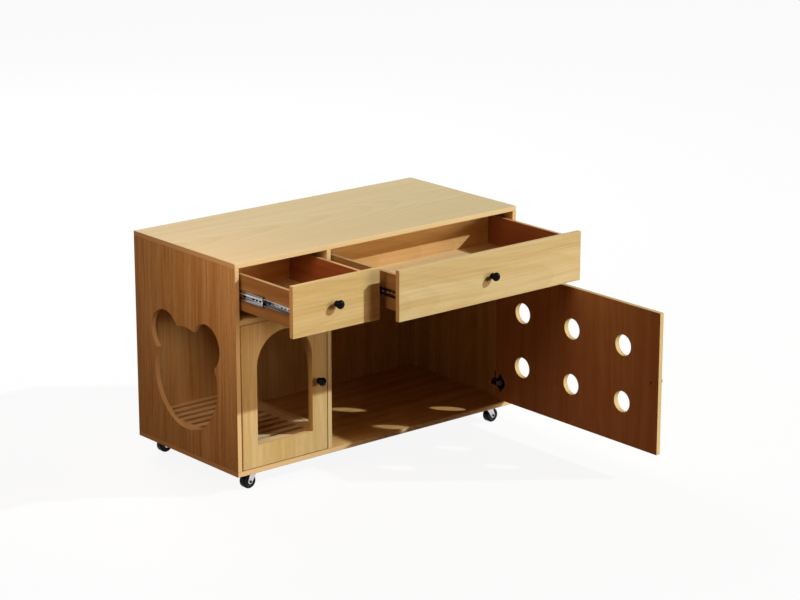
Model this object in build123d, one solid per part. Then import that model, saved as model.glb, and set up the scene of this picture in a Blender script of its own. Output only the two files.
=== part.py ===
from build123d import *
import math
import os

# A litter box enclosure: a low cabinet of laminated board on four casters, with a cat's room
# on the left, a tray room on the right and two drawers above. The front faces -Y, the floor is
# z = 0 and x = y = 0 is the middle of the case. It stands as photographed: both drawers are
# pulled out, the right door is open at a right angle and the left door is shut.

# Case
case_width = 1060.0  # overall, along X
case_depth = 495.0  # overall, along Y
case_height = 630.0  # underside of the bottom board to the upper face of the top
floor_clearance = 54.0  # floor to the underside of the bottom board
board = 15.0  # thickness of the case boards, doors and drawer fronts
edge_break = 0.8  # chamfer along every board edge
back_thickness = 5.0
back_setback = 7.5  # rear edge of the case to the back board
back_groove = 5.0  # depth of the back board's groove
small_bay_width = 312.0  # clear width of the left-hand bay
drawer_bay_height = 153.0  # clear height of the drawer bays
reveal = 2.0  # gap around the drawer fronts and above and below the doors

# Openings in the boards
bear_head_radius = 154.0  # bear-shaped entry in the left side
bear_ear_share = 0.44  # ear radius in head radii
bear_ear_angle = 49.0  # degrees above the horizontal, ears centred on the head's outline
bear_drop_share = 0.31  # part of the spare height that lies below the entry
arch_stile = 53.5  # arched doorway to the left door's side edges
arch_sill = 65.0  # arched doorway to the left door's lower edge
arch_rail = 34.0  # crown of the arch to the left door's upper edge
passage_front_stile = 92.5  # arched passage through the divider, from the case's front
passage_rear_stile = 100.0  # the same, from the back board
passage_rail = 72.0  # crown of the passage to the shelf
vent_radius = 32.0  # round vents in the right door
vent_columns = 3
vent_rows = 2
vent_pitch_shares = (0.309, 0.402)  # pitch along the door's width and height
vent_offset = 13.0  # middle of the vents from the middle of the door, toward the hinges

# Slatted floor of the left room
slat_lift = 43.0  # bottom board to the underside of the slatted floor
slat_gap = 2.0  # floor to the boards around it
slot_count = 11
slot_radius = 8.2
slot_border = 36.0  # slot ends to the floor's side edges
slot_end_share = 0.3  # border before the first slot and after the last, in pitches

# Drawers
small_drawer_pull = 241.0  # how far each drawer is pulled out
large_drawer_pull = 302.0
drawer_board = 12.0  # sides and backs
drawer_depth = 380.0  # length of the drawer sides
drawer_rear_gap = 40.0  # least space behind a shut drawer
drawer_bottom = 5.0
drawer_groove = 4.0  # depth of the bottom's groove
drawer_bottom_rise = 10.0  # drawer bottom above the sides' lower edge
side_top_drop = 19.0  # front's upper edge down to the sides'
side_bottom_rise = 25.0  # front's lower edge up to the sides'

# Ball-bearing slides, in three telescoping members
slide_space = 12.7  # case to drawer side
slide_height = 35.0  # case member
slide_sheet = 1.2
slide_setback = 3.0  # slide's front end behind the drawer front
slide_tail = 27.0  # drawer side beyond the slide's rear end
slide_lip = 1.6  # inward lip of a raceway
race_space = 2.4  # between the flanges of neighbouring members, taken up by the ball cages
case_member_reach = 10.0  # depth of the case member's flanges
middle_member_start = 3.8  # middle member's web, from the case
middle_member_end = 11.0  # tips of the middle member's flanges
drawer_member_start = 6.0  # tips of the drawer member's flanges
cage_slack = 0.3  # cage to the raceway it runs in
cage_width = 3.4
slide_slot_radius = 2.8
slide_slot_length = 12.0
slide_slot_shares = (0.03, 0.075, 0.12, 0.235, 0.42, 0.58, 0.66, 0.92)  # slots along a member
slide_screw_shares = (0.18, 0.5, 0.8)
lever_start = 94.0  # release lever, from the drawer member's front end
lever_length = 40.0
lever_height = 8.0
lever_thickness = 3.0
lever_tab = 10.0  # finger tab at the lever's front

# Doors and their concealed hinges
door_hinge_gap = 3.5
door_free_gap = 2.5
right_door_angle = 90.0  # how far the right door stands open, in degrees
right_hinge_inset = 55.0  # cup centre to the right door's upper and lower edges
left_hinge_inset = 90.0  # cup centre to the left door's upper and lower edges
cup_edge = 6.0  # wood left between the cup and the door's hinge edge
cup_radius = 17.5
cup_depth = 11.5
cup_wall = 1.5
cup_flange = 0.8
cup_flange_margin = 2.0
cup_ear_spacing = 45.0
cup_ear_radius = 5.5
pin_radius = 2.0
pin_drop = 3.0  # pin centre below the door's inner face
pin_play = 0.05
eye_radius = 4.0
arm_width = 5.0
arm_height = 14.0
arm_outset = 10.0  # arm's straight stretch, from the pin toward the door's free edge
arm_reach = 34.0  # arm's crossing behind the open door's hinge edge, from the pin
arm_root = 43.0  # arm's root on its plate, from the pin
plate_thickness = 2.5
plate_start = 24.0  # plate on the upright, from the pin
plate_end = 56.0
plate_height = 46.0
plate_screw_spacing = 32.0

# Knobs
knob_projection = 26.5
knob_head = 20.0  # length of the domed head
knob_dome_radius = 14.4  # spheres of the head's two faces
knob_rim_radius = 6.5  # rounding between them
knob_neck_radius = 6.0
knob_foot_radius = 8.8
knob_foot = 2.5
knob_flare_share = 0.8  # fillets at the ends of the neck, in widths of the foot's step
knob_door_inset = 30.0  # knob to the door's free edge

# Casters
caster_side_inset = 75.0  # swivel axis to the case's side
caster_front_inset = 40.0  # swivel axis to the case's front or back
caster_trail = 13.0
caster_plate = 46.0
caster_plate_thickness = 2.5
caster_plate_round = 5.0
caster_hole_spacing = 34.0
race_height = 3.0
race_radius = 15.0
swivel_gap = 0.2  # running gap of the swivel
kingpin_radius = 4.0
kingpin_head_radius = 6.5
kingpin_head = 1.5
fork_sheet = 1.8
crown_radius = 18.0
wheel_headroom = 3.1  # wheel to the crown
wheel_width = 22.0
wheel_side_gap = 1.0
tyre_thickness = 5.5
tyre_round = 3.0
hub_dish = 2.5  # depth of the hub's dished faces
hub_rim = 2.0
hub_boss_radius = 6.0
axle_radius = 3.0
axle_play = 0.05
axle_head_radius = 5.0
axle_head = 1.8
fork_end_radius = 7.5

# Fasteners
screw_radius = 1.8
screw_head_radius = 3.6
screw_head = 2.0
screw_length = 9.0  # shank below the seat
knob_screw_radius = 2.0
knob_screw_grip = 9.0  # thread inside the knob
case_screw_radius = 2.5
case_screw_head_radius = 5.0
case_screw_head = 3.0
case_screw_length = 50.0
dowel_radius = 4.0
dowel_long = 20.0  # part of a dowel in the end of its board
dowel_short = 7.0  # part in the face that the board meets
cam_radius = 7.5
cam_depth = 12.0
cam_drop = 24.0  # cam centre below the top board
cam_bolt_radius = 3.0
cam_bolt_grip = 10.0  # thread in the top board
joint_bolt_shares = (-0.36, 0.36)  # places along the depth
joint_dowel_shares = (-0.22, 0.22)

pair_shares = (-0.5, 0.5)  # two screws about their middle

overrun = 10.0  # how far a cutter passes beyond the face it opens

# Planes that the boards share
left = -case_width / 2
right = case_width / 2
front = -case_depth / 2
rear = case_depth / 2
underside = floor_clearance
floor_top = underside + board
top_face = underside + case_height
top_under = top_face - board
shelf_top = top_under - drawer_bay_height
shelf_under = shelf_top - board
left_inner = left + board
right_inner = right - board
divider_left = left_inner + small_bay_width
divider_right = divider_left + board
back_outer = rear - back_setback
back_inner = back_outer - back_thickness
front_inner = front + board
slat_under = floor_top + slat_lift
slat_top = slat_under + board


def block(x0, x1, y0, y1, z0, z1):
    """A box between three pairs of limits."""
    middle = Pos((x0 + x1) / 2, (y0 + y1) / 2, (z0 + z1) / 2)
    return middle * Box(x1 - x0, y1 - y0, z1 - z0)


def panel(x0, x1, y0, y1, z0, z1):
    """A board between three pairs of limits, with its edges broken."""
    return chamfer(block(x0, x1, y0, y1, z0, z1).edges(), edge_break)


def along_x(sketch, x0, x1):
    """A sketch in Y and Z, extruded between two values of x."""
    return extrude(Plane.YZ.offset(x0) * sketch, x1 - x0)


def along_y(sketch, y0, y1):
    """A sketch in X and Z, extruded between two values of y."""
    return extrude(Plane.XZ.offset(-y1) * sketch, y1 - y0)


def along_z(sketch, z0, z1):
    """A sketch in X and Y, extruded between two values of z."""
    return extrude(Plane.XY.offset(z0) * sketch, z1 - z0)


def rectangle(x0, x1, y0, y1):
    """A rectangle between two pairs of limits of its plane."""
    return Pos((x0 + x1) / 2, (y0 + y1) / 2) * Rectangle(x1 - x0, y1 - y0)


def arch(x0, x1, y0, y1):
    """An upright opening between two pairs of limits, with a half-round head."""
    radius = (x1 - x0) / 2
    spring = y1 - radius
    return rectangle(x0, x1, y0, spring) + Pos((x0 + x1) / 2, spring) * Circle(radius)


def rod(start, end, radius):
    """A round rod between two points."""
    axis = Vector(end) - Vector(start)
    return extrude(Plane(origin=start, z_dir=axis) * Circle(radius), axis.length)


def headed(seat, inward, radius, length, head_radius, head):
    """A fastener with a flat head standing on a seat and its shank running inward."""
    plane = Plane(origin=seat, z_dir=inward)
    shank = extrude(plane * Circle(radius), length)
    return shank + extrude(plane * Circle(head_radius), -head)


def wood_screw(seat, inward):
    """The pan-head screw that holds all the hardware."""
    return headed(seat, inward, screw_radius, screw_length, screw_head_radius, screw_head)


def countersunk(seat, inward):
    """A case screw whose conical head is flush with its seat."""
    plane = Plane(origin=seat, z_dir=inward)
    shank = extrude(plane * Circle(case_screw_radius), case_screw_length)
    cone = Cone(case_screw_head_radius, case_screw_radius, case_screw_head)
    return shank + plane * Pos(0, 0, case_screw_head / 2) * cone


def bored(shape, fasteners):
    """A board with a hole for each fastener that passes through it."""
    box = shape.bounding_box()
    near = [item for item in fasteners if box.overlaps(item.bounding_box())]
    return shape - near if near else shape


def group(solids):
    """Several separate solids as one piece."""
    return Compound(children=list(solids))


parts = {}

# Joints of the uprights with the top and bottom boards, and of the shelves with the uprights.
uprights = {
    "left_side_panel": (left, left_inner, left_inner),
    "divider_panel": (divider_left, divider_right, divider_right),
    "right_side_panel": (right_inner, right, right_inner),
}
dowels = []
cams = []
cam_bolts = []
case_screws = []
cam_z = top_under - cam_drop
for x0, x1, cam_face in uprights.values():
    middle = (x0 + x1) / 2
    inward = math.copysign(cam_depth, middle - cam_face)
    for share in joint_bolt_shares:
        y = share * case_depth
        bolt = rod((middle, y, cam_z), (middle, y, top_under + cam_bolt_grip), cam_bolt_radius)
        cam_bolts.append(bolt)
        cams.append(rod((cam_face, y, cam_z), (cam_face + inward, y, cam_z), cam_radius) - bolt)
        case_screws.append(countersunk((middle, y, underside), (0, 0, 1)))
    for share in joint_dowel_shares:
        y = share * case_depth
        for face, sense in ((top_under, 1), (floor_top, -1)):
            foot = face - sense * dowel_long
            dowels.append(rod((middle, y, foot), (middle, y, face + sense * dowel_short), dowel_radius))
shelf_middle = (shelf_under + shelf_top) / 2
for face, sense in ((left_inner, -1), (divider_left, 1), (divider_right, -1), (right_inner, 1)):
    for share in joint_dowel_shares:
        y = share * case_depth
        start = (face - sense * dowel_long, y, shelf_middle)
        shelf_reach = sense * (dowel_short - edge_break)
        dowels.append(rod(start, (face + shelf_reach, y, shelf_middle), dowel_radius))
joint_pieces = dowels + cams + cam_bolts + case_screws
parts["wood_dowels"] = group(dowels)
parts["cam_locks"] = group(cams)
parts["cam_bolts"] = group(cam_bolts)
parts["case_screws"] = group(case_screws)


def slide(wall, center_z, shut_front, length, pull):
    """Left-hand slide of a drawer: its case, middle and drawer members, cages, lever and screws.

    Each member is a C channel of bent sheet with its flanges nested in the next one's. The
    middle member follows the drawer at half its travel.
    """

    def channel(web, tip, height, lip):
        sense = math.copysign(1, tip - web)
        half = height / 2
        rim = half - slide_sheet
        outer = rectangle(min(web, tip), max(web, tip), -half, half)
        wide = sorted((web + sense * slide_sheet, tip - sense * slide_sheet))
        mouth = sorted((web + sense * slide_sheet, tip + sense * overrun))
        hollow = rectangle(*wide, -rim, rim) + rectangle(*mouth, lip - rim, rim - lip)
        return Pos(wall, center_z) * (outer - hollow)

    def slots(web, y0):
        cutters = []
        for share in slide_slot_shares:
            slot = SlotOverall(slide_slot_length, slide_slot_radius * 2)
            place = Pos(y0 + share * length, center_z)
            x = wall + web - overrun / 2
            cutters.append(along_x(place * slot, x, x + overrun / 2 + slide_sheet))
        return cutters

    middle_height = slide_height - (slide_sheet + race_space) * 2
    drawer_height = middle_height - (slide_sheet + race_space) * 2
    middle_front = shut_front - pull / 2
    drawer_front = shut_front - pull
    drawer_web = slide_space - slide_sheet

    case_profile = channel(0, case_member_reach, slide_height, slide_lip)
    middle_profile = channel(middle_member_start, middle_member_end, middle_height, slide_lip)
    drawer_profile = channel(slide_space, drawer_member_start, drawer_height, 0)
    case_member = along_y(case_profile, shut_front, shut_front + length)
    middle_member = along_y(middle_profile, middle_front, middle_front + length)
    drawer_member = along_y(drawer_profile, drawer_front, drawer_front + length)

    case_screws_here = []
    drawer_screws_here = []
    for share in slide_screw_shares:
        case_seat = (wall + slide_sheet, shut_front + share * length, center_z)
        case_screws_here.append(wood_screw(case_seat, (-1, 0, 0)))
        drawer_seat = (wall + drawer_web, drawer_front + share * length, center_z)
        drawer_screws_here.append(wood_screw(drawer_seat, (1, 0, 0)))
    case_member = case_member - slots(0, shut_front) - case_screws_here
    middle_member = middle_member - slots(middle_member_start, middle_front)
    drawer_member = drawer_member - slots(drawer_web, drawer_front) - drawer_screws_here

    # The outer cages lie in the rear half of the middle member and the inner ones in its front
    # half, so both stay between their raceways over the whole travel.
    half_length = length / 2
    cages = []
    outer_base = middle_height / 2
    inner_base = outer_base - slide_sheet
    outer_x = wall + middle_member_start + slide_sheet
    inner_x = wall + drawer_member_start
    for sense in (-1, 1):
        outer_limits = sorted((sense * outer_base, sense * (outer_base + race_space - cage_slack)))
        inner_limits = sorted((sense * (inner_base - race_space + cage_slack), sense * inner_base))
        outer_cage = rectangle(outer_x, outer_x + cage_width, *outer_limits)
        inner_cage = rectangle(inner_x, inner_x + cage_width, *inner_limits)
        middle_half = middle_front + half_length
        cages.append(along_y(Pos(0, center_z) * outer_cage, middle_half, middle_front + length))
        cages.append(along_y(Pos(0, center_z) * inner_cage, middle_front, middle_half))

    lever_y = drawer_front + lever_start
    lever_foot = wall + drawer_web - lever_thickness
    stem = rectangle(lever_y, lever_y + lever_length, -lever_height / 4, lever_height / 4)
    tab = Pos(lever_y + lever_tab / 2, 0) * SlotOverall(lever_tab, lever_height)
    lever = along_x(Pos(0, center_z) * (stem + tab), lever_foot, wall + drawer_web)
    return {
        "rail": case_member,
        "rail_screws": case_screws_here,
        "middle": [middle_member] + cages,
        "runner": drawer_member,
        "runner_screws": drawer_screws_here,
        "lever": lever,
    }


def knob(seat, outward):
    """A domed knob turned about its screw, standing on a face."""
    rim = knob_projection - knob_head / 2
    drop = knob_dome_radius - knob_head / 2
    dome = Circle(knob_dome_radius)
    head = Pos(0, rim - drop) * dome & Pos(0, rim + drop) * dome
    head = fillet(head.vertices(), knob_rim_radius)
    neck = rectangle(-knob_neck_radius, knob_neck_radius, 0, rim)
    foot = rectangle(-knob_foot_radius, knob_foot_radius, 0, knob_foot)
    outline = head + neck + foot
    neck_corners = outline.vertices().sort_by(lambda corner: abs(corner.X))[:4]
    outline = fillet(neck_corners, (knob_foot_radius - knob_neck_radius) * knob_flare_share)
    half = outline & rectangle(0, knob_dome_radius, 0, knob_projection)
    return Plane(origin=seat, z_dir=outward) * revolve(Plane.XZ * half, Axis.Z)


def knob_screw(seat, outward):
    """The knob's screw, driven from the inner face of its board."""
    length = board + knob_screw_grip
    return headed(seat, outward, knob_screw_radius, length, screw_head_radius, screw_head)


def drawer(name, bay_left, bay_right, wanted_pull):
    """A drawer in its bay, with its slides; adds all its pieces and returns the rails' screws."""
    depth = min(drawer_depth, back_inner - front_inner - drawer_rear_gap)
    length = depth - slide_tail - slide_setback
    pull = min(wanted_pull, length)
    z0 = shelf_top + reveal
    z1 = top_under - reveal
    middle_z = (z0 + z1) / 2
    middle_x = (bay_left + bay_right) / 2
    face = front - pull
    seat = face + board
    tail = seat + depth
    side_z = (z0 + side_bottom_rise, z1 - side_top_drop)
    outer_left = bay_left + slide_space
    outer_right = bay_right - slide_space
    inner_left = outer_left + drawer_board
    inner_right = outer_right - drawer_board
    bottom_z = side_z[0] + drawer_bottom_rise

    bottom = block(inner_left - drawer_groove, inner_right + drawer_groove, seat - drawer_groove,
                   tail - drawer_board + drawer_groove, bottom_z, bottom_z + drawer_bottom)
    left_slide = slide(bay_left, middle_z, front_inner + slide_setback, length, pull)
    mid_plane = Plane.YZ.offset(middle_x)

    def both(key):
        piece = left_slide[key]
        pieces = piece if isinstance(piece, list) else [piece]
        return pieces + [mirror(item, about=mid_plane) for item in pieces]

    runner_screws = both("runner_screws")
    pull_screw = knob_screw((middle_x, seat, middle_z), (0, -1, 0))
    cuts = runner_screws + [pull_screw, bottom]
    boards = {
        "front": panel(bay_left + reveal, bay_right - reveal, face, seat, z0, z1),
        "left_side": panel(outer_left, inner_left, seat, tail, *side_z),
        "right_side": panel(inner_right, outer_right, seat, tail, *side_z),
        "back": panel(inner_left, inner_right, tail - drawer_board, tail, *side_z),
    }
    for key, shape in boards.items():
        parts[f"{name}_{key}"] = bored(shape, cuts)
    parts[f"{name}_bottom"] = bottom
    parts[f"{name}_knob"] = knob((middle_x, face, middle_z), (0, -1, 0)) - pull_screw
    parts[f"{name}_screws"] = group([pull_screw] + runner_screws)
    parts[f"{name}_runners"] = group(both("runner"))
    parts[f"{name}_release_levers"] = group(both("lever"))
    parts[f"{name}_slide_middles"] = group(both("middle"))
    parts[f"{name}_rails"] = group(both("rail"))
    return both("rail_screws")


hardware_screws = drawer("small_drawer", left_inner, divider_left, small_drawer_pull)
hardware_screws += drawer("large_drawer", divider_right, right_inner, large_drawer_pull)

# Doors, built shut. A hinge's pin lies across its cup, below the door's inner face, and the
# arm reaches it around the hinge edge from a plate on the upright.
door_z0 = floor_top + reveal
door_z1 = shelf_under - reveal
door_middle_z = (door_z0 + door_z1) / 2
pin_y = front_inner - pin_drop


def door(name, upright, free, outline, inset, angle):
    """A door between its upright and its free side; adds its pieces, returns the plates' screws.

    The door turns by the angle about its pins from the shut position.
    """
    sense = math.copysign(1, free - upright)
    hinge_edge = upright + sense * door_hinge_gap
    free_edge = free - sense * door_free_gap
    pin_x = hinge_edge + sense * (cup_edge + cup_radius)
    axis = Axis((pin_x, pin_y, 0), (0, 0, 1))
    cups = []
    arms = []
    cup_screws = []
    plate_screws = []
    recesses = []
    for z in (door_z0 + inset, door_z1 - inset):
        face = Plane(origin=(pin_x, front_inner, z), x_dir=(0, 0, 1), z_dir=(0, 1, 0))
        recess = extrude(face * Circle(cup_radius), -cup_depth)
        hollow = extrude(face * Circle(cup_radius - cup_wall), -(cup_depth - cup_wall))
        ears = SlotCenterToCenter(cup_ear_spacing, cup_ear_radius * 2)
        flange = extrude(face * (Circle(cup_radius + cup_flange_margin) + ears), cup_flange)
        mouth = extrude(face * Circle(cup_radius - cup_wall), cup_flange)
        pin_half = cup_radius - cup_wall / 2
        pin = rod((pin_x, pin_y, z - pin_half), (pin_x, pin_y, z + pin_half), pin_radius)
        screws = [
            wood_screw((pin_x, front_inner + cup_flange, z + share * cup_ear_spacing), (0, -1, 0))
            for share in pair_shares
        ]
        recesses.append(recess)
        cup_screws += screws
        cups.append(recess + flange - hollow - mouth + pin - screws)

        plate_face = upright + sense * plate_thickness
        plate_y = (pin_y + plate_start, pin_y + plate_end)
        plate_z = (z - plate_height / 2, z + plate_height / 2)
        plate = block(*sorted((upright, plate_face)), *plate_y, *plate_z)
        stretch_x = pin_x + sense * arm_outset
        route = Polyline(
            (plate_face, pin_y + arm_root),
            (pin_x, pin_y + arm_reach),
            (stretch_x, pin_y + arm_reach - eye_radius),
            (stretch_x, pin_y + arm_outset),
            (pin_x, pin_y),
        )
        strip = trace(route, arm_width) + Pos(pin_x, pin_y) * Circle(eye_radius)
        strip -= Pos(pin_x, pin_y) * Circle(pin_radius + pin_play)
        arm = along_z(strip, z - arm_height / 2, z + arm_height / 2)
        beyond = upright - sense * overrun
        arm -= block(*sorted((upright, beyond)), *plate_y, *plate_z)
        seats = [
            ((plate_face, sum(plate_y) / 2, z + share * plate_screw_spacing), (-sense, 0, 0))
            for share in pair_shares
        ]
        here = [wood_screw(*seat) for seat in seats]
        plate_screws += here
        arms.append(plate + arm - here)

    knob_x = free_edge - sense * knob_door_inset
    shut_knob_screw = knob_screw((knob_x, front_inner, door_middle_z), (0, -1, 0))
    limits = sorted((hinge_edge, free_edge))
    leaf = panel(*limits, front, front_inner, door_z0, door_z1)
    leaf -= along_y(outline(*limits), front - overrun, front_inner + overrun)
    leaf = bored(leaf, recesses + cup_screws + [shut_knob_screw])
    shut_knob = knob((knob_x, front, door_middle_z), (0, -1, 0)) - shut_knob_screw

    parts[f"{name}_panel"] = leaf.rotate(axis, angle)
    parts[f"{name}_knob"] = shut_knob.rotate(axis, angle)
    parts[f"{name}_hinge_cups"] = group(cup.rotate(axis, angle) for cup in cups)
    door_screws = cup_screws + [shut_knob_screw]
    parts[f"{name}_screws"] = group(screw.rotate(axis, angle) for screw in door_screws)
    parts[f"{name}_hinge_arms"] = group(arms)
    return plate_screws


def arched_doorway(x0, x1):
    """The cat's doorway in the left door."""
    return arch(x0 + arch_stile, x1 - arch_stile, door_z0 + arch_sill, door_z1 - arch_rail)


def vents(x0, x1):
    """The rows of round vents in the right door."""
    pitch_x = (x1 - x0) * vent_pitch_shares[0]
    pitch_z = (door_z1 - door_z0) * vent_pitch_shares[1]
    grid = GridLocations(pitch_x, pitch_z, vent_columns, vent_rows)
    middle = Pos((x0 + x1) / 2 + vent_offset, door_middle_z)
    return Sketch() + [middle * place * Circle(vent_radius) for place in grid]


hardware_screws += door("left_door", left_inner, divider_left, arched_doorway, left_hinge_inset, 0)
hardware_screws += door(
    "right_door", right_inner, divider_right, vents, right_hinge_inset, right_door_angle
)

# Casters. The wheel's diameter is what the plate, the race and the fork's crown leave of the
# height. All four trail outward.
plate_under = underside - caster_plate_thickness
crown_top = plate_under - race_height
crown_under = crown_top - fork_sheet
wheel_radius = (crown_under - wheel_headroom) / 2


def turned(points):
    """A body turned about the Y axis from radius and y pairs."""
    return revolve(make_face(Polyline(*[(r, y, 0) for r, y in points], close=True)), Axis.Y)


def caster(name, x, y, trail):
    """One caster; adds its wheel and fork, returns its plate and the plate's screws."""
    swivel = Pos(x, y, 0)
    hub_radius = wheel_radius - tyre_thickness
    half = wheel_width / 2
    axle_place = Pos(x + trail, y, wheel_radius)

    tyre = Rot(90, 0, 0) * (Cylinder(wheel_radius, wheel_width) - Cylinder(hub_radius, wheel_width))
    rims = tyre.edges().filter_by(GeomType.CIRCLE).sort_by(lambda edge: edge.radius)[-2:]
    parts[f"{name}_tyre"] = axle_place * fillet(rims, tyre_round)
    bore = axle_radius + axle_play
    web = half - hub_dish
    rim_inside = hub_radius - hub_rim
    parts[f"{name}_hub"] = axle_place * turned([
        (bore, -half), (hub_boss_radius, -half), (hub_boss_radius + hub_dish, -web),
        (rim_inside - hub_dish, -web), (rim_inside, -half), (hub_radius, -half),
        (hub_radius, half), (rim_inside, half), (rim_inside - hub_dish, web),
        (hub_boss_radius + hub_dish, web), (hub_boss_radius, half), (bore, half),
    ])

    # The fork is a round crown with two legs that taper to the axle.
    inside = half + wheel_side_gap
    outside = inside + fork_sheet
    crown = along_z(Circle(crown_radius), crown_under, crown_top - swivel_gap)
    crown -= along_z(Circle(kingpin_radius + swivel_gap), crown_under - overrun, crown_top)
    end = Pos(trail, wheel_radius) * Circle(fork_end_radius)
    neck = math.sqrt(crown_radius**2 - outside**2)
    head = rectangle(-neck, neck, crown_under, crown_top - swivel_gap)
    leg = make_face(make_hull(end.edges() + head.edges()).edges())
    leg -= Pos(trail, wheel_radius) * Circle(axle_radius + axle_play)
    fork = crown + along_y(leg, inside, outside) + along_y(leg, -outside, -inside)
    head_reach = outside + axle_head
    axle = along_y(Pos(trail, wheel_radius) * Circle(axle_radius), -outside, outside)
    for side in ((outside, head_reach), (-head_reach, -outside)):
        axle += along_y(Pos(trail, wheel_radius) * Circle(axle_head_radius), *side)
    parts[f"{name}_fork"] = group([swivel * fork, swivel * axle])

    corners = RectangleRounded(caster_plate, caster_plate, caster_plate_round)
    plate = along_z(corners, plate_under, underside)
    plate += along_z(Circle(race_radius), crown_top, plate_under)
    plate += along_z(Circle(kingpin_radius), crown_under - swivel_gap, crown_top)
    pin_head = crown_under - swivel_gap
    plate += along_z(Circle(kingpin_head_radius), pin_head - kingpin_head, pin_head)
    holes = GridLocations(caster_hole_spacing, caster_hole_spacing, 2, 2)
    seat = Pos(0, 0, plate_under)
    screws = [
        wood_screw((swivel * seat * place).position, (0, 0, 1)) for place in holes
    ]
    return swivel * plate - screws, screws


caster_plates = []
caster_x = case_width / 2 - caster_side_inset
caster_y = case_depth / 2 - caster_front_inset
for side, x, trail in (("left", -caster_x, -caster_trail), ("right", caster_x, caster_trail)):
    for end, y in (("front", -caster_y), ("rear", caster_y)):
        plate, screws = caster(f"{end}_{side}_caster", x, y, trail)
        caster_plates.append(plate)
        hardware_screws += screws
parts["caster_plates"] = group(caster_plates)
parts["hardware_screws"] = group(hardware_screws)

# Case boards, bored for the fasteners.
fasteners = joint_pieces + hardware_screws
back = block(
    left_inner - back_groove, right_inner + back_groove, back_inner, back_outer,
    floor_top - back_groove, top_under + back_groove,
)
room = shelf_under - floor_top
ear_rise = math.sin(math.radians(bear_ear_angle))
ear_spread = math.cos(math.radians(bear_ear_angle))
bear_height_share = 1 + ear_rise + bear_ear_share
head_radius = min(bear_head_radius, (room - slat_lift - board) / bear_height_share)
bear_low = slat_top + (room - slat_lift - board - head_radius * bear_height_share) * bear_drop_share
head_z = bear_low + head_radius
bear = Pos(0, head_z) * Circle(head_radius)
for sense in (-1, 1):
    ear_y = sense * head_radius * ear_spread
    bear += Pos(ear_y, head_z + head_radius * ear_rise) * Circle(head_radius * bear_ear_share)
passage = arch(
    front + passage_front_stile, back_inner - passage_rear_stile,
    slat_top, shelf_under - passage_rail,
)
entry = along_x(bear, left - overrun, left_inner + overrun)
doorway = along_x(passage, divider_left - overrun, divider_right + overrun)

case_boards = {
    "top_panel": panel(left, right, front, rear, top_under, top_face),
    "bottom_panel": panel(left, right, front, rear, underside, floor_top),
    "left_side_panel": panel(left, left_inner, front, rear, floor_top, top_under) - entry,
    "right_side_panel": panel(right_inner, right, front, rear, floor_top, top_under),
    "divider_panel": panel(
        divider_left, divider_right, front, back_inner, floor_top, top_under
    ) - doorway,
    "left_shelf": panel(left_inner, divider_left, front, back_inner, shelf_under, shelf_top),
    "right_shelf": panel(divider_right, right_inner, front, back_inner, shelf_under, shelf_top),
}
for name, shape in case_boards.items():
    parts[name] = bored(shape, fasteners + [back])
parts["back_panel"] = back

# Slatted floor on two bearers, which start behind the way that the left door's hinge edge swings.
hinge_edge_reach = math.hypot(cup_edge + cup_radius, pin_drop)
slat_x = (left_inner + slat_gap, divider_left - slat_gap)
slat_y = (pin_y + hinge_edge_reach + slat_gap, back_inner - slat_gap)
slat = panel(*slat_x, *slat_y, slat_under, slat_top)
slot_pitch = (slat_y[1] - slat_y[0]) / (slot_count + slot_end_share * 2)
slot_length = slat_x[1] - slat_x[0] - slot_border * 2
slot = SlotOverall(slot_length, slot_radius * 2)
slot_rows = Pos(sum(slat_x) / 2, sum(slat_y) / 2) * GridLocations(0, slot_pitch, 1, slot_count)
slots = [
    along_z(place * slot, slat_under - overrun, slat_top + overrun) for place in slot_rows
]
parts["slatted_floor"] = slat - slots
parts["floor_bearers"] = group([
    panel(left_inner, left_inner + board, *slat_y, floor_top, slat_under),
    panel(divider_left - board, divider_left, *slat_y, floor_top, slat_under),
])

os.makedirs("parts", exist_ok=True)
for name, shape in parts.items():
    export_step(shape, f"parts/{name}.step")
print(len(parts), "pieces")
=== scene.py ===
import math

import bpy
import bmesh
import numpy as np
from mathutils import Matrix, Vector


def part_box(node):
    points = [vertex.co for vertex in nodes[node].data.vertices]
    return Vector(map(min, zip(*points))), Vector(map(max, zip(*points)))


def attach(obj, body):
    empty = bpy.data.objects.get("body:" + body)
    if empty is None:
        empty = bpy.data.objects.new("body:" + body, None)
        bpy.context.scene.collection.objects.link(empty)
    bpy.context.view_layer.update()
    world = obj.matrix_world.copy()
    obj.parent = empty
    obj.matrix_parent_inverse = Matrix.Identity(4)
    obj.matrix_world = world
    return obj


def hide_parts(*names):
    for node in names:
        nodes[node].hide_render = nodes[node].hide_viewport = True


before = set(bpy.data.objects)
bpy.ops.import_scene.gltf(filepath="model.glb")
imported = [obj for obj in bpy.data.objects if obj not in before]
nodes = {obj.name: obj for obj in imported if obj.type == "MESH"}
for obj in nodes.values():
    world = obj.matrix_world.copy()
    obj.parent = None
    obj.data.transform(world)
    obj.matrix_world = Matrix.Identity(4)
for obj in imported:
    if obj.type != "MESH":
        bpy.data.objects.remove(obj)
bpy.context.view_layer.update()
scene = bpy.context.scene
X, Y, Z = 0, 1, 2

# Camera, fitted to the corners of the case, drawers and open door in the photograph.
CAMERA_PLACE = (-4.649, -5.880, 2.563)
CAMERA_YAW = -39.96  # degrees about the vertical, from looking along +Y
CAMERA_PITCH = -15.89  # degrees, downward
CAMERA_LENS = 116.76  # mm
SENSOR_WIDTH = 36.0  # mm

# Light: a distant key at the front right, soft lamps around the object, a dim warm surround.
KEY_FROM = (0.687, -0.537, 0.489)  # direction towards the key
KEY_SOFTNESS = 1.1  # degrees across
KEY_STRENGTH = 3.15
KEY_COLOUR = (0.93, 0.99, 1.0)
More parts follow.
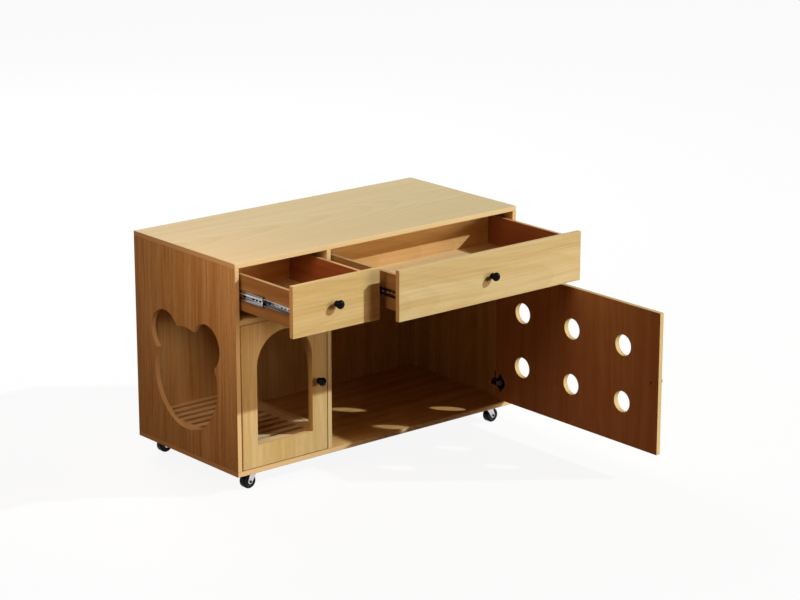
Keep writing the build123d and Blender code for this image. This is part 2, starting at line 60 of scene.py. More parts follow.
# Each soft lamp: place, point it looks at and size in metres, spread in degrees, power in watts, colour.
SOFT_LAMPS = {
    "left_lamp": ((-1.2, -0.6, 1.15), (-0.53, -0.1, 0.5), 0.6, 110.0, 2.75, (1.0, 0.60, 0.38)),
    "right_lamp": ((4.74, -5.08, 0.96), (-0.3, -0.3, 0.4), 2.0, 180.0, 268.0, (1.0, 0.84, 0.67)),
    "back_lamp": ((1.0, 4.5, 3.8), (0.0, 0.0, 0.7), 2.5, 180.0, 205.0, (0.95, 0.95, 1.0)),
}
UNMIRRORED_LAMP = "right_lamp"  # the lamp that polished pieces don't show
SURROUND_STRENGTH = 0.05
SURROUND_COLOUR = (1.0, 0.36, 0.12, 1.0)
REFLECTED_COLOUR = (0.75, 0.75, 0.75, 1.0)  # what polished pieces see of the surround
WHITE = (1.0, 1.0, 1.0, 1.0)
FLOOR_HALF = 60.0  # metres
FLOOR_COLOUR = (0.14, 0.06, 0.025, 1.0)  # what lights the object from below
FLOOR_SEEN_COLOUR = (0.95, 0.95, 0.95, 1.0)  # what the camera sees
FLOOR_WHITENING = 0.91  # part of the floor that is plain white to the camera
FLOOR_REFLECTED = 0.7  # how much of that polished pieces see

SEED_SPREAD = (1.0, 0.37, 1.31)  # how far a seed moves a noise along each axis
FACING = 0.5  # cosine above which a face looks along an axis


class Tree:
    """A material's node tree, with one short call for each kind of node that the finishes use."""

    def __init__(self, name):
        self.material = bpy.data.materials.new(name)
        self.material.use_nodes = True
        self.nodes = self.material.node_tree.nodes
        self.links = self.material.node_tree.links
        self.shader = self.nodes["Principled BSDF"]

    def put(self, socket, value):
        """Links a socket to another, or sets it to a plain value."""
        if isinstance(value, bpy.types.NodeSocket):
            self.links.new(value, socket)
        else:
            socket.default_value = value

    def node(self, kind, *values, **settings):
        """A node with its settings and its first inputs."""
        node = self.nodes.new(kind)
        for name, value in settings.items():
            setattr(node, name, value)
        for socket, value in zip(node.inputs, values):
            self.put(socket, value)
        return node

    def math(self, operation, *values):
        """One arithmetic step on single numbers."""
        return self.node("ShaderNodeMath", *values, operation=operation).outputs[0]

    def combine(self, *values):
        """A vector from three numbers."""
        return self.node("ShaderNodeCombineXYZ", *values).outputs[0]

    def split(self, vector):
        """The three numbers of a vector."""
        return self.node("ShaderNodeSeparateXYZ", vector).outputs

    def rising(self, value, least, gain):
        """A number that is least where a value is 0 and grows with it."""
        return self.math("MULTIPLY_ADD", value, gain, least)

    def noise(self, vector, scale, detail=2.0, roughness=0.5):
        """Smooth noise between 0 and 1, with the same scale along every axis."""
        node = self.node("ShaderNodeTexNoise", vector)
        node.inputs["Scale"].default_value = scale
        node.inputs["Detail"].default_value = detail
        node.inputs["Roughness"].default_value = roughness
        return node.outputs["Fac"]

    def stretched_noise(self, vector, stretch, seed, detail=2.0, roughness=0.5):
        """Noise with a scale of its own along each axis, moved by a seed."""
        offset = [seed * part for part in SEED_SPREAD]
        moved = self.node("ShaderNodeVectorMath", vector, stretch, offset, operation="MULTIPLY_ADD")
        return self.noise(moved.outputs[0], 1.0, detail, roughness)

    def remap(self, value, low, high, to_low=0.0, to_high=1.0):
        """A number taken from one range to another along a smooth step."""
        return self.node("ShaderNodeMapRange", value, low, high, to_low, to_high,
                         interpolation_type="SMOOTHSTEP").outputs[0]

    def mix(self, factor, a, b, blend="MIX"):
        """Two colours mixed by a factor, or blended in another way."""
        node = self.node("ShaderNodeMix", factor, data_type="RGBA", blend_type=blend)
        first, second = [s for s in node.inputs if s.type == "RGBA"]
        self.put(first, a)
        self.put(second, b)
        return next(s for s in node.outputs if s.type == "RGBA")

    def place(self):
        """Object coordinates and the object's own normal."""
        node = self.node("ShaderNodeTexCoord")
        return node.outputs["Object"], node.outputs["Normal"]

    def bump(self, height, strength, distance):
        """A relief on the surface, its height in metres."""
        node = self.node("ShaderNodeBump")
        node.inputs["Strength"].default_value = strength
        node.inputs["Distance"].default_value = distance
        self.put(node.inputs["Height"], height)
        self.put(self.shader.inputs["Normal"], node.outputs[0])

    def finish(self, **sockets):
        """Sets the shader's own sockets by name and returns the material."""
        for name, value in sockets.items():
            self.put(self.shader.inputs[name.replace("_", " ")], value)
        return self.material


def colour(tone):
    """A display colour from 0 to 255, as linear light."""
    values = np.array(tone) / 255.0
    linear = np.where(values <= 0.04045, values / 12.92, ((values + 0.055) / 1.055) ** 2.4)
    return (*linear.tolist(), 1.0)


# Oak in four display tones: pale wood, body, dark streak and pore.
CASE_OAK = ((219, 200, 152), (208, 185, 131), (180, 146, 92), (144, 106, 62))
# Redder oak for the side panels and back: partly painted shade, the warm tint of their shade.
REDDER_OAK_PAINTED_SHADE = ((217, 190, 138), (204, 171, 114), (172, 128, 75), (134, 90, 49))
FRONT_OAK = ((217, 194, 140), (205, 178, 118), (178, 141, 84), (142, 102, 56))
TOP_OAK = ((220, 203, 161), (210, 190, 142), (182, 151, 104), (146, 111, 70))
# Redder, darker oak for the drawers' right sides: partly painted shade of the drawer insides.
DRAWER_OAK_PAINTED_SHADE = ((212, 166, 110), (196, 145, 89), (158, 102, 56), (120, 71, 37))
BACK_OAK = ((220, 178, 122), (207, 160, 102), (168, 114, 64), (128, 80, 43))
# Darker, browner oak for the drawers' left sides: partly painted shade, as between the drawers.
SIDE_OAK_PAINTED_SHADE = ((172, 140, 93), (155, 121, 76), (120, 85, 48), (92, 62, 34))
FLOOR_OAK = ((214, 176, 117), (203, 157, 95), (169, 118, 64), (131, 84, 42))
# Oak paler than the rest for the slat tops and drawer bottoms, partly painted light that brightens them.
PALE_OAK_PAINTED_LIGHT = ((238, 216, 172), (228, 203, 154), (202, 168, 114), (160, 120, 74))
EDGE_BAND = (224, 197, 146)
# Dark brown on the slatted floor's slot walls: painted shade in the slots.
SLOT_WALL_PAINTED_SHADE = (84, 48, 24)
JOINT_TONE = (58, 32, 15)
# Pale painted highlight along a rounded edge, as if it caught the light.
EDGE_HIGHLIGHT_TONE = (240, 218, 172)
# Painted shade: what an inner face's oak is multiplied by, a redder, darker tint for the warm shade
# in the open room and inside the drawers.
DOOR_PAINTED_SHADE = (1.0, 0.68, 0.70, 1.0)
DRAWER_PAINTED_SHADE = (0.56, 0.36, 0.38, 1.0)
BACK_PAINTED_SHADE = (0.95, 0.78, 0.80, 1.0)

# Each layer of the figure: changes per metre along and across the grain, and the noise's seed step, detail
# and roughness.
FIGURE = {
    "wander": ((1.2, 2.2, 0.0), 0.0, 1.0, 0.5),
    "broad": ((0.8, 26.0, 0.0), 0.0, 2.0, 0.5),
    "streak": ((1.8, 105.0, 0.0), 2.0, 3.0, 0.6),
    "fibre": ((9.0, 430.0, 0.0), 4.0, 3.0, 0.6),
    "pore": ((46.0, 1250.0, 0.0), 6.0, 1.0, 0.5),
    "heart": ((2.5, 0.0, 0.0), 8.0, 1.0, 0.5),
}
# Levels of a layer's noise at which it starts to show and is full.
BROAD_LEVELS = (0.30, 0.70)
STREAK_LEVELS = (0.45, 0.80)
FIBRE_LEVELS = (0.40, 0.78)
PORE_LEVELS = (0.60, 0.74)
# Greatest share of the darker tone in each layer.
STREAK_SHARE = 0.34
FIBRE_SHARE = 0.24
PORE_SHARE = 0.22
RING_SHARE = 0.13
# Growth rings and the wander of the grain, in metres.
WANDER_REACH = 0.05
HEART_DEPTH = 0.13
HEART_SLOPE = 0.08  # deeper for each metre along the grain
HEART_WAVE = 0.03
RINGS_PER_METRE = 75.0
RING_DARKENS = (0.30, 0.92)  # part of a ring over which its wood darkens
RING_ENDS = (0.93, 1.0)  # part over which it turns pale again
# Lines where boards meet, in metres on each side of the joint.
LINE_HALF = 0.0013
LINE_CORE_HALF = 0.00065


def oak_laminate(name, grain, face, seed, heart, joints, oak=CASE_OAK, edge=EDGE_BAND, edge_share=0.3,
                 tone=0.0, figure=1.0, inner=None):
    """Oak laminate with its figure along one axis.

    Streaks of three widths and short pores run along the grain, all bent by one slow sideways
    wander. Growth rings are circles about a heart that runs ever deeper below the face, so where
    the face cuts them at a slant they show as nested arches. Every face that doesn't look the
    board's own way is an edge band, with its streaks along the edge. Fine dark lines follow the
    planes where the board meets its neighbours, a pale painted highlight can follow a rounded
    edge, and an inner face can be multiplied by a redder, darker painted shade.
    """
    tree = Tree(name)

    def layer(kind, vector):
        """One layer of the figure's noise."""
        stretch, step, detail, roughness = FIGURE[kind]
        return tree.stretched_noise(vector, stretch, seed + step, detail, roughness)

    pale, body, dark, pore_tone = [colour(part) for part in oak]
    point, normal = tree.place()
    axes = tree.split(point)
    across = X + Y + Z - grain - face
    facing = tree.split(normal)
    aside_of = [tree.math("LESS_THAN", tree.math("ABSOLUTE", part), FACING) for part in facing]
    on_edge = aside_of[face]
    run = tree.math("MULTIPLY_ADD", axes[across], on_edge, axes[grain])
    step_aside = tree.math("SUBTRACT", axes[face], axes[across])
    width = tree.math("MULTIPLY_ADD", step_aside, on_edge, axes[across])

    flat = tree.combine(run, width, 0.0)
    bent = tree.rising(layer("wander", flat), width, WANDER_REACH)
    board = tree.combine(run, bent, 0.0)
    broad = layer("broad", board)
    streak = layer("streak", board)
    fibre = layer("fibre", board)
    pore = tree.remap(layer("pore", board), *PORE_LEVELS)

    aside = tree.math("SUBTRACT", bent, heart)
    depth = tree.rising(layer("heart", flat), tree.rising(run, HEART_DEPTH, HEART_SLOPE), HEART_WAVE)
    aside_squared = tree.math("MULTIPLY", aside, aside)
    radius = tree.math("SQRT", tree.math("MULTIPLY_ADD", depth, depth, aside_squared))
    phase = tree.math("FRACT", tree.math("MULTIPLY", radius, RINGS_PER_METRE))
    ring = tree.math("MULTIPLY", tree.remap(phase, *RING_DARKENS), tree.remap(phase, *RING_ENDS, 1.0, 0.0))
    ring = tree.math("MULTIPLY", ring, tree.rising(on_edge, RING_SHARE, -RING_SHARE))

    half = min(figure, 1.0) / 2
    shade = tree.mix(tree.remap(broad, *BROAD_LEVELS, 0.5 - half, 0.5 + half), pale, body)
    shade = tree.mix(tree.remap(streak, *STREAK_LEVELS, tone, tone + STREAK_SHARE * figure), shade, dark)
    shade = tree.mix(ring, shade, dark)
    shade = tree.mix(tree.remap(fibre, *FIBRE_LEVELS, 0.0, FIBRE_SHARE * figure), shade, dark)
    shade = tree.mix(tree.math("MULTIPLY", pore, PORE_SHARE * figure), shade, pore_tone)
    shade = tree.mix(tree.math("MULTIPLY", on_edge, edge_share), shade, colour(edge))
    # Painted shade: the inner face's oak is multiplied by its redder, darker tint.
    if inner:
        sense, painted_shade = inner
        inside = tree.math("GREATER_THAN", tree.math("MULTIPLY", facing[face], sense), FACING)
        shade = tree.mix(inside, shade, painted_shade, "MULTIPLY")
    # Dark joint lines, and pale painted highlights along rounded edges.
    for axis, level, line_tone, share in joints:
        away = tree.math("ABSOLUTE", tree.math("SUBTRACT", axes[axis], level))
        line = tree.remap(away, LINE_CORE_HALF, LINE_HALF, share, 0.0)
        shade = tree.mix(tree.math("MULTIPLY", line, aside_of[axis]), shade, colour(line_tone))
    tree.bump(tree.math("SUBTRACT", fibre, pore), strength=0.2, distance=0.0002)
    return tree.finish(Base_Color=shade, Roughness=tree.rising(fibre, least=0.38, gain=0.16),
                       Specular_IOR_Level=0.015)


def zinc_steel():
    """Bright zinc on rolled sheet: light and dark bands of painted reflection, and fine streaks along the
    slide.
    """
    tree = Tree("zinc_steel")
    point, _ = tree.place()
    streak = tree.stretched_noise(point, stretch=(900.0, 14.0, 900.0), seed=1.0)
    # Painted reflection: broad bands mix a light and a dark zinc tone, standing for the bright and dark
    # surroundings mirrored in the rolled profile.
    band = tree.stretched_noise(point, stretch=(60.0, 5.0, 170.0), seed=3.0)
    share = tree.remap(band, low=0.38, high=0.62)
    tree.bump(streak, strength=0.15, distance=0.00005)
    return tree.finish(Base_Color=tree.mix(share, colour((222, 222, 224)), colour((104, 99, 96))),
                       Roughness=tree.rising(streak, least=0.14, gain=0.18), Metallic=1.0)


def plain_finish(name, tones, scale, roughness, detail=2.0, levels=None, relief=None, **sockets):
    """A finish of two display tones, mixed by one noise that also varies the roughness.

    The roughness is its least value and what the noise adds. The levels are those of the noise
    between which one tone turns into the other. The relief is a noise of its own, by its scale,
    strength and height in metres.
    """
    tree = Tree(name)
    point, _ = tree.place()
    marks = tree.noise(point, scale, detail)
    share = tree.remap(marks, *levels) if levels else marks
    if relief:
        relief_scale, strength, height = relief
        tree.bump(tree.noise(point, relief_scale), strength, height)
    return tree.finish(Base_Color=tree.mix(share, *[colour(tone) for tone in tones]),
                       Roughness=tree.rising(marks, *roughness), **sockets)


def dress(material, names):
    """Gives a material to CAD nodes."""
    for name in names:
        for place in nodes[name].material_slots:
            place.link = "OBJECT"
            place.material = material


# Each board: its grain axis, the axis its faces look along, and where its figure is centred.
BOARDS = {
    "top_panel": (X, Z, 0.05),
    "bottom_panel": (X, Z, -0.06),
    "left_side_panel": (Z, X, 0.10),
    "right_side_panel": (Z, X, -0.05),
    "back_panel": (Z, Y, 0.20),
    "divider_panel": (Z, X, 0.06),
    "left_shelf": (X, Z, 0.04),
    "right_shelf": (X, Z, -0.02),
    "slatted_floor": (X, Z, 0.03),
    "floor_bearers": (Y, X, 0.09),
    "left_door_panel": (Z, Y, -0.30),
    "right_door_panel": (Z, X, -0.60),
    "small_drawer_front": (X, Y, 0.60),
    "large_drawer_front": (X, Y, 0.58),
}
for size in ("small", "large"):
    BOARDS[f"{size}_drawer_left_side"] = (Y, X, 0.58)
    BOARDS[f"{size}_drawer_right_side"] = (Y, X, 0.62)
    BOARDS[f"{size}_drawer_back"] = (X, Y, 0.60)
    BOARDS[f"{size}_drawer_bottom"] = (X, Z, -0.30)
# Boards that differ from the rest: in their oak, in the edge band and how far it covers, in depth of tone,
# in strength of figure, or by an inner face, given by the way it looks along its axis and the painted shade
# multiplied into it.
VARIANTS = {
    # The slot walls take the dark painted shade, and the slat tops a paler oak that paints light on them.
    "slatted_floor": {"oak": PALE_OAK_PAINTED_LIGHT, "edge": SLOT_WALL_PAINTED_SHADE, "edge_share": 0.45},
    "top_panel": {"oak": TOP_OAK, "tone": -0.04, "figure": 0.45},
    "small_drawer_front": {"oak": FRONT_OAK, "tone": 0.04},
    "left_door_panel": {"oak": FRONT_OAK, "tone": 0.04, "figure": 1.4},
    # The open door's inner face takes the painted shade.
    "right_door_panel": {"oak": FRONT_OAK, "inner": (-1.0, DOOR_PAINTED_SHADE)},
    # The side panels and back take the redder oak of painted shade.
    "left_side_panel": {"oak": REDDER_OAK_PAINTED_SHADE, "edge_share": 0.8, "figure": 2.8},
    "bottom_panel": {"oak": FLOOR_OAK, "edge_share": 0.85},
    "right_side_panel": {"oak": REDDER_OAK_PAINTED_SHADE},
    "back_panel": {"oak": REDDER_OAK_PAINTED_SHADE, "figure": 1.8},
}
for size in ("small", "large"):
    VARIANTS[f"{size}_drawer_back"] = {"oak": BACK_OAK}
    VARIANTS[f"{size}_drawer_bottom"] = {"oak": PALE_OAK_PAINTED_LIGHT}
    # The drawers' left sides take the darker oak of painted shade.
    VARIANTS[f"{size}_drawer_left_side"] = {"oak": SIDE_OAK_PAINTED_SHADE}
    # The drawers' right sides take a redder, darker painted shade on their inner faces.
    VARIANTS[f"{size}_drawer_right_side"] = {"oak": DRAWER_OAK_PAINTED_SHADE, "inner": (-1.0, DRAWER_PAINTED_SHADE)}
# The small drawer's back takes a lighter painted shade on its inner face.
VARIANTS["small_drawer_back"]["inner"] = (-1.0, BACK_PAINTED_SHADE)
# Ends of the boards, by axis and low or high end, that meet another board, or whose edge gets a pale
# painted highlight.
JOINTS = {
    "top_panel": [(Z, 0)],
    "bottom_panel": [(Z, 1)],
    "left_side_panel": [(Z, 0), (Z, 1)],
    "right_side_panel": [(Z, 0), (Z, 1)],
    "divider_panel": [(Z, 0), (Z, 1)],
    "left_shelf": [(X, 0), (X, 1)],
    "right_shelf": [(X, 0), (X, 1)],
}
# Edges that get the pale painted highlight.
PAINTED_HIGHLIGHT_EDGES = {"top_panel": [(Z, 1)]}
JOINT_SHARE = 0.8  # how strongly a joint's line shows
EDGE_HIGHLIGHT_SHARE = 0.6  # how strongly the painted edge highlight shows
SEED_START = 0.4  # seed of the first board's figure
SEED_STEP = 1.7  # from one board's seed to the next
for index, (name, (grain, face, heart)) in enumerate(BOARDS.items()):
    variant = VARIANTS.get(name, {})
    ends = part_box(name)
    joints = [(axis, ends[end][axis], JOINT_TONE, JOINT_SHARE) for axis, end in JOINTS.get(name, ())]
    joints += [(axis, ends[end][axis], EDGE_HIGHLIGHT_TONE, EDGE_HIGHLIGHT_SHARE) for axis, end in PAINTED_HIGHLIGHT_EDGES.get(name, ())]
    seed = SEED_STEP * index + SEED_START
    dress(oak_laminate(f"oak_{name}", grain, face, seed, heart, joints, **variant), [name])

zinc = zinc_steel()
# Black nickel on the pressed hinges and door screws, kept dark as painted shade: smooth, slightly warm,
# with faint handling marks.
shade_dark_nickel = plain_finish("black_nickel_painted_shade", ((54, 42, 36), (38, 30, 26)), scale=220.0, detail=4.0,
                           levels=(0.3, 0.7), roughness=(0.30, 0.16), Metallic=1.0)
# Moulded black plastic with a fine spark texture.
plastic = plain_finish("black_plastic", ((11, 11, 12), (21, 21, 22)), scale=2600.0, roughness=(0.30, 0.20),
                       relief=(2600.0, 0.2, 0.00008), Specular_IOR_Level=0.24)
# Plain beech with short flecks.
beech = plain_finish("beech", ((214, 178, 132), (186, 146, 100)), scale=700.0, detail=3.0,
                     roughness=(0.55, 0.20))
# Gloss black lacquer with a slight unevenness in its coat.
lacquer = plain_finish("black_lacquer", ((5, 5, 6), (10, 9, 9)), scale=160.0, roughness=(0.10, 0.08),
                       relief=(160.0, 0.05, 0.0002), Specular_IOR_Level=0.09)
# Black tyre rubber with dusty patches.
rubber = plain_finish("black_rubber", ((6, 6, 7), (17, 16, 16)), scale=90.0, detail=4.0, levels=(0.4, 0.75),
                      roughness=(0.18, 0.20), relief=(1500.0, 0.15, 0.0001), Specular_IOR_Level=0.10)
# Polished chrome with a trace of dust in its roughness.
chrome = plain_finish("chrome_plate", ((222, 223, 226), (204, 206, 210)), scale=180.0, detail=4.0,
                      levels=(0.35, 0.7), roughness=(0.05, 0.10), Metallic=1.0)
STEEL_ENDS = ("_rails", "_runners", "_slide_middles", "_screws", "cam_locks", "cam_bolts")
dress(beech, ["wood_dowels"])
dress(lacquer, [n for n in nodes if n.endswith("_knob")])
dress(plastic, [n for n in nodes if n.endswith(("release_levers", "_hub"))])
dress(rubber, [n for n in nodes if n.endswith("_tyre")])
dress(chrome, [n for n in nodes if n.endswith("_fork")] + ["caster_plates"])
dress(shade_dark_nickel, [n for n in nodes if "_hinge_" in n])
dress(zinc, [n for n in nodes if n.endswith(STEEL_ENDS)])

# Fasteners, in metres.
SCREW_HEAD_RADIUS = 0.0036
SCREW_HEAD = 0.0020
SCREW_DOME = 0.0006
SCREW_RECESS = 0.0011
SCREW_SHANK_RADIUS = 0.0018
SCREW_DECIMALS = 4  # lengths are told apart to 0.1 mm
HEAD_POINTS_SHARE = 0.9  # a head's points lie at least this share of its radius off the axis
CAM_RADIUS = 0.0075
CAM_DEPTH = 0.012
CAM_DOME = 0.0002
CAM_SLOT = 0.0025
CAM_STUB_RADIUS = CAM_RADIUS * 0.5
CAM_STUB = 0.0001
BOLT_FLAT = 0.0038  # hexagon's centre to its flats
BOLT_HEAD = 0.0016
BOLT_SIDES = 6
BOLT_POINTS = 24
BOLT_RADIUS_SHARES = np.array((0.0, 0.35, 0.65, 0.88, 1.0, 1.0, 0.0))
BOLT_HEIGHT_SHARES = np.array((1.0, 0.97, 0.88, 0.74, 0.60, 0.0, 0.0))
AXLE_REACH = BOLT_FLAT * 1.5  # the fork's points this near to the axis are its axle's
# Points of one fastener lie nearer to each other than this.
CABINET_SCREW_REACH = 0.023
MOVING_SCREW_REACH = 0.030
CAM_REACH = 0.030
# Shares of a head's radius: rings of its crown, and half width and reach of the recess's bars.
CROWN_SHARES = np.array((0.0, 0.10, 0.18, 0.30, 0.42, 0.52, 0.60, 0.74, 0.88, 0.96))
BAR_HALF_SHARE = 0.14
BAR_REACH_SHARE = 0.56
SIDE_FADE = 0.5  # slope at a bar's sides, as a share of its half width
END_FADE = 0.2  # slope at its ends, as a share of its reach
EDGE_DROP = 1.4  # foot of the rounded edge, in heights of the dome
RECESS_ANGLES = np.radians((-18.0, -11.0, 0.0, 11.0, 18.0, 31.0, 45.0, 59.0))  # in each quarter turn
WELD_REACH = 1e-6
SHARP_ANGLE = math.radians(35.0)


def grid_faces(rows, columns):
    """Quads of a grid of points whose last column joins its first."""
    row, column = np.meshgrid(np.arange(rows - 1), np.arange(columns), indexing="ij")
    after = (column + 1) % columns
    this_row = row * columns
    next_row = this_row + columns
    corners = (this_row + column, this_row + after, next_row + after, next_row + column)
    return np.stack(corners, axis=-1).reshape(-1, 4)


def add_piece(name, grids, body, material, replaced=()):
    """A smooth piece made of equal closed grids, one for each copy, that rides on a body."""
    copies, rows, columns, _ = grids.shape
    quads = grid_faces(rows, columns)
    shifts = np.arange(copies)[:, None, None] * rows * columns
    mesh = bpy.data.meshes.new(name)
    mesh.from_pydata(grids.reshape(-1, 3).tolist(), [], (quads[None] + shifts).reshape(-1, 4).tolist())
    shape = bmesh.new()
    shape.from_mesh(mesh)
    bmesh.ops.remove_doubles(shape, verts=shape.verts, dist=WELD_REACH)
    bmesh.ops.recalc_face_normals(shape, faces=shape.faces)
    shape.to_mesh(mesh)
    shape.free()
    mesh.polygons.foreach_set("use_smooth", np.ones(len(mesh.polygons), dtype=bool))
    mesh.set_sharp_from_angle(angle=SHARP_ANGLE)
    mesh.materials.append(material)
    piece = bpy.data.objects.new(name, mesh)
    scene.collection.objects.link(piece)
    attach(piece, body)
    if replaced:
        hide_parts(*replaced)


def cross_head(radius, head, shank_radius, length, dome, recess):
    """A fastener about +Z, its seat at z = 0, as a grid of rings and angles.

    Rings run from the crown's middle over a rounded edge, down the head and the shank to a
    pointed end. The crown falls with the square of the radius, and the recess is the union of two
    crossed bars, full depth along their middles and fading to nothing at their sides and ends.
    """
    angles = (np.arange(4)[:, None] * math.pi / 2 + RECESS_ANGLES).ravel()
    radii = np.concatenate((CROWN_SHARES * radius, (radius, radius, shank_radius, shank_radius, 0.0)))
    tops = head - dome * CROWN_SHARES**2
    heights = np.concatenate((tops, (head - dome * EDGE_DROP, 0.0, 0.0, shank_radius - length, -length)))
    x = radii[:, None] * np.cos(angles)
    y = radii[:, None] * np.sin(angles)
    z = np.repeat(heights[:, None], len(angles), axis=1)
    bar_half = BAR_HALF_SHARE * radius
    bar_reach = BAR_REACH_SHARE * radius
    side = np.minimum(np.abs(x), np.abs(y))
    reach = np.maximum(np.abs(x), np.abs(y))
    fade = np.clip((bar_half * (1 + SIDE_FADE) - side) / (bar_half * SIDE_FADE), 0, 1)
    fade = fade * np.clip((bar_reach * (1 + END_FADE / 2) - reach) / (bar_reach * END_FADE), 0, 1)
    fade[len(CROWN_SHARES):] = 0.0
    return np.stack((x, y, z - recess * fade), axis=-1)


def set_out(shape, seats, outward):
    """Copies of a shape about +Z, each on its seat with +Z turned outward."""
    side = np.where(np.abs(outward[:, Z:Z + 1]) > FACING, (1.0, 0.0, 0.0), (0.0, 0.0, 1.0))
    turned = np.stack((side, np.cross(outward, side), outward), axis=1)
    return np.einsum("rck,nkj->nrcj", shape, turned) + seats[:, None, None, :]


def node_points(node):
    """The points of a node's mesh."""
    mesh = nodes[node].data
    points = np.empty(len(mesh.vertices) * 3)
    mesh.vertices.foreach_get("co", points)
    return points.reshape(-1, 3)


def solid_points(node, reach):
    """The points of each solid in a node of small solids that lie further apart than reach."""
    points = node_points(node)
    found = []
    while len(points):
        near = np.linalg.norm(points - points[0], axis=1) < reach
        found.append(points[near])
        points = points[~near]
    return found


def screw_seats(node, reach):
    """Seats and outward directions of a node's screws, and how far each goes in.

    A screw's axis is the longest side of its box, and its head is the end with the widest points.
    Two screws that meet point to point in one board share a box with a head at each end.
    """
    seats, outward, lengths = [], [], []
    for points in solid_points(node, reach):
        middle = (points.min(axis=0) + points.max(axis=0)) / 2
        size = np.ptp(points, axis=0)
        axis = int(np.argmax(size))
        from_middle = points - middle
        off_axis = np.linalg.norm(np.delete(from_middle, axis, axis=1), axis=1)
        heads = np.unique(np.sign(from_middle[off_axis > SCREW_HEAD_RADIUS * HEAD_POINTS_SHARE, axis]))
        for sense in heads:
            direction = np.eye(3)[axis] * sense
            seats.append(middle + direction * (size[axis] / 2 - SCREW_HEAD))
            outward.append(direction)
            lengths.append(round(size[axis] / len(heads) - SCREW_HEAD, SCREW_DECIMALS))
    return np.array(seats), np.array(outward), np.array(lengths)


def fit_screws(node, body, reach, material):
    """Cross-recessed screws in place of a node's plain ones."""
    seats, outward, lengths = screw_seats(node, reach)
    grids = []
    for length in np.unique(lengths):
        screw = cross_head(SCREW_HEAD_RADIUS, SCREW_HEAD, SCREW_SHANK_RADIUS, length, SCREW_DOME,
                           SCREW_RECESS)
        alike = lengths == length
        grids.append(set_out(screw, seats[alike], outward[alike]))
    add_piece(f"{node}_cross_recessed", np.concatenate(grids), body, material, [node])


fit_screws("hardware_screws", "cabinet", CABINET_SCREW_REACH, zinc)
for size in ("small", "large"):
    fit_screws(f"{size}_drawer_screws", f"{size}_drawer", MOVING_SCREW_REACH, zinc)
for side in ("left", "right"):
    fit_screws(f"{side}_door_screws", f"{side}_door", MOVING_SCREW_REACH, shade_dark_nickel)


def fit_cams():
    """Cam locks with a crossed slot in the face that looks into the room."""
    middles = np.array([(p.min(axis=0) + p.max(axis=0)) / 2 for p in solid_points("cam_locks", CAM_REACH)])
    outward = np.zeros_like(middles)
    outward[:, X] = np.where(middles[:, X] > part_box("right_side_panel")[0][X], -1.0, 1.0)
    seats = middles - outward * CAM_DEPTH / 2
    cam = cross_head(CAM_RADIUS, CAM_DEPTH, CAM_STUB_RADIUS, CAM_STUB, CAM_DOME, CAM_SLOT)
    cams = set_out(cam, seats, outward)
    add_piece("cam_locks_slotted", cams, "cabinet", zinc, ["cam_locks"])


def fit_axle_bolts(caster):
    """Black hexagon bolt heads on the ends of a caster's axle.

    The radius at an angle is the flat's distance over the cosine of the angle from the nearest
    flat's middle, and the crown is domed.
    """
    wheel_low, wheel_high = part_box(f"{caster}_tyre")
    middle = (np.array(wheel_low) + np.array(wheel_high)) / 2
    points = node_points(f"{caster}_fork")
    near = np.hypot(points[:, X] - middle[X], points[:, Z] - middle[Z]) < AXLE_REACH
    reach = np.abs(points[near, Y] - middle[Y]).max()
    angles = np.arange(BOLT_POINTS) * 2 * math.pi / BOLT_POINTS
    half_side = math.pi / BOLT_SIDES
    radii = BOLT_FLAT / np.cos((angles + half_side) % (2 * half_side) - half_side)
    x = BOLT_RADIUS_SHARES[:, None] * radii * np.cos(angles)
    y = BOLT_RADIUS_SHARES[:, None] * radii * np.sin(angles)
    z = np.repeat(BOLT_HEIGHT_SHARES[:, None] * BOLT_HEAD, BOLT_POINTS, axis=1)
    outward = np.array(((0.0, -1.0, 0.0), (0.0, 1.0, 0.0)))
    shape = set_out(np.stack((x, y, z), axis=-1), middle + outward * reach, outward)
    add_piece(f"{caster}_axle_bolts", shape, f"{caster}_swivel", plastic)


fit_cams()
for node in [n for n in nodes if n.endswith("_tyre")]:
    fit_axle_bolts(node.removesuffix("_tyre"))


def studio_floor():
    """A wide flat floor, near white to the camera and pale to reflections, that keeps the shadow."""
    mesh = bpy.data.meshes.new("floor")
    half = FLOOR_HALF
    corners = [(-half, -half, 0), (half, -half, 0), (half, half, 0), (-half, half, 0)]
    mesh.from_pydata(corners, [], [(0, 1, 2, 3)])
    floor = bpy.data.objects.new("floor", mesh)
    scene.collection.objects.link(floor)
    tree = Tree("floor_white")
    path = tree.node("ShaderNodeLightPath").outputs
    seen = tree.math("MULTIPLY", path["Is Glossy Ray"], FLOOR_REFLECTED)
    seen = tree.math("MAXIMUM", path["Is Camera Ray"], seen)
    material = tree.finish(Base_Color=tree.mix(seen, FLOOR_COLOUR, FLOOR_SEEN_COLOUR), Roughness=0.9,
                           Specular_IOR_Level=0.0)
    share = tree.math("MULTIPLY", seen, FLOOR_WHITENING)
    white = tree.node("ShaderNodeEmission", WHITE, 1.0).outputs[0]
    both = tree.node("ShaderNodeMixShader", share, tree.shader.outputs[0], white).outputs[0]
    tree.links.new(both, tree.nodes["Material Output"].inputs["Surface"])
    mesh.materials.append(material)


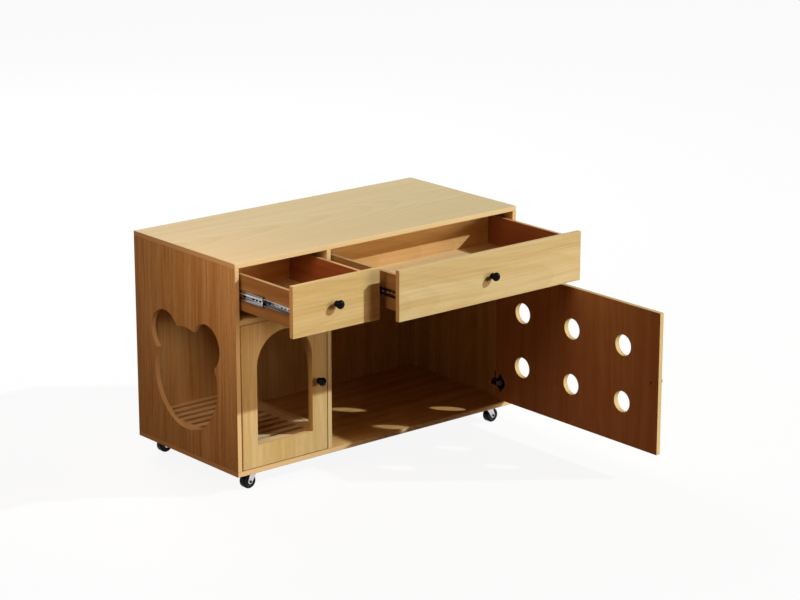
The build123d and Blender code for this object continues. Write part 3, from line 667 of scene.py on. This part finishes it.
def studio_lights():
    """The key, the soft lamps, and a surround that is white to the camera and otherwise a warm fill."""
    world = bpy.data.worlds.new("surround")
    world.use_nodes = True
    tree = world.node_tree
    path = tree.nodes.new("ShaderNodeLightPath")
    seen = tree.nodes["Background"]
    seen.inputs["Color"].default_value = SURROUND_COLOUR
    seen.inputs["Strength"].default_value = SURROUND_STRENGTH
    for ray, tint in (("Is Glossy Ray", REFLECTED_COLOUR), ("Is Camera Ray", WHITE)):
        plain = tree.nodes.new("ShaderNodeBackground")
        plain.inputs["Color"].default_value = tint
        both = tree.nodes.new("ShaderNodeMixShader")
        tree.links.new(path.outputs[ray], both.inputs[0])
        tree.links.new(seen.outputs[0], both.inputs[1])
        tree.links.new(plain.outputs[0], both.inputs[2])
        seen = both
    tree.links.new(seen.outputs[0], tree.nodes["World Output"].inputs["Surface"])
    scene.world = world

    key = bpy.data.lights.new("key", "SUN")
    key.angle = math.radians(KEY_SOFTNESS)
    key.energy = KEY_STRENGTH
    key.color = KEY_COLOUR
    lamps = [(key, KEY_FROM, (0.0, 0.0, 0.0))]
    for name, (place, aim, size, spread, power, tint) in SOFT_LAMPS.items():
        soft = bpy.data.lights.new(name, "AREA")
        soft.size = size
        soft.spread = math.radians(spread)
        soft.energy = power
        soft.color = tint
        lamps.append((soft, place, aim))
    for light, place, aim in lamps:
        lamp = bpy.data.objects.new(light.name, light)
        lamp.visible_camera = False
        lamp.visible_glossy = light.name != UNMIRRORED_LAMP
        lamp.location = place
        lamp.rotation_euler = (Vector(aim) - Vector(place)).to_track_quat("-Z", "Y").to_euler()
        scene.collection.objects.link(lamp)


def photo_camera():
    """The camera at the photograph's angle."""
    camera = bpy.data.cameras.new("camera")
    camera.lens = CAMERA_LENS
    camera.sensor_width = SENSOR_WIDTH
    camera.sensor_fit = "HORIZONTAL"
    eye = bpy.data.objects.new("camera", camera)
    eye.location = CAMERA_PLACE
    eye.rotation_euler = (math.radians(90.0 + CAMERA_PITCH), 0.0, math.radians(CAMERA_YAW))
    scene.collection.objects.link(eye)
    scene.camera = eye


studio_floor()
studio_lights()
photo_camera()
scene.view_settings.view_transform = "Standard"
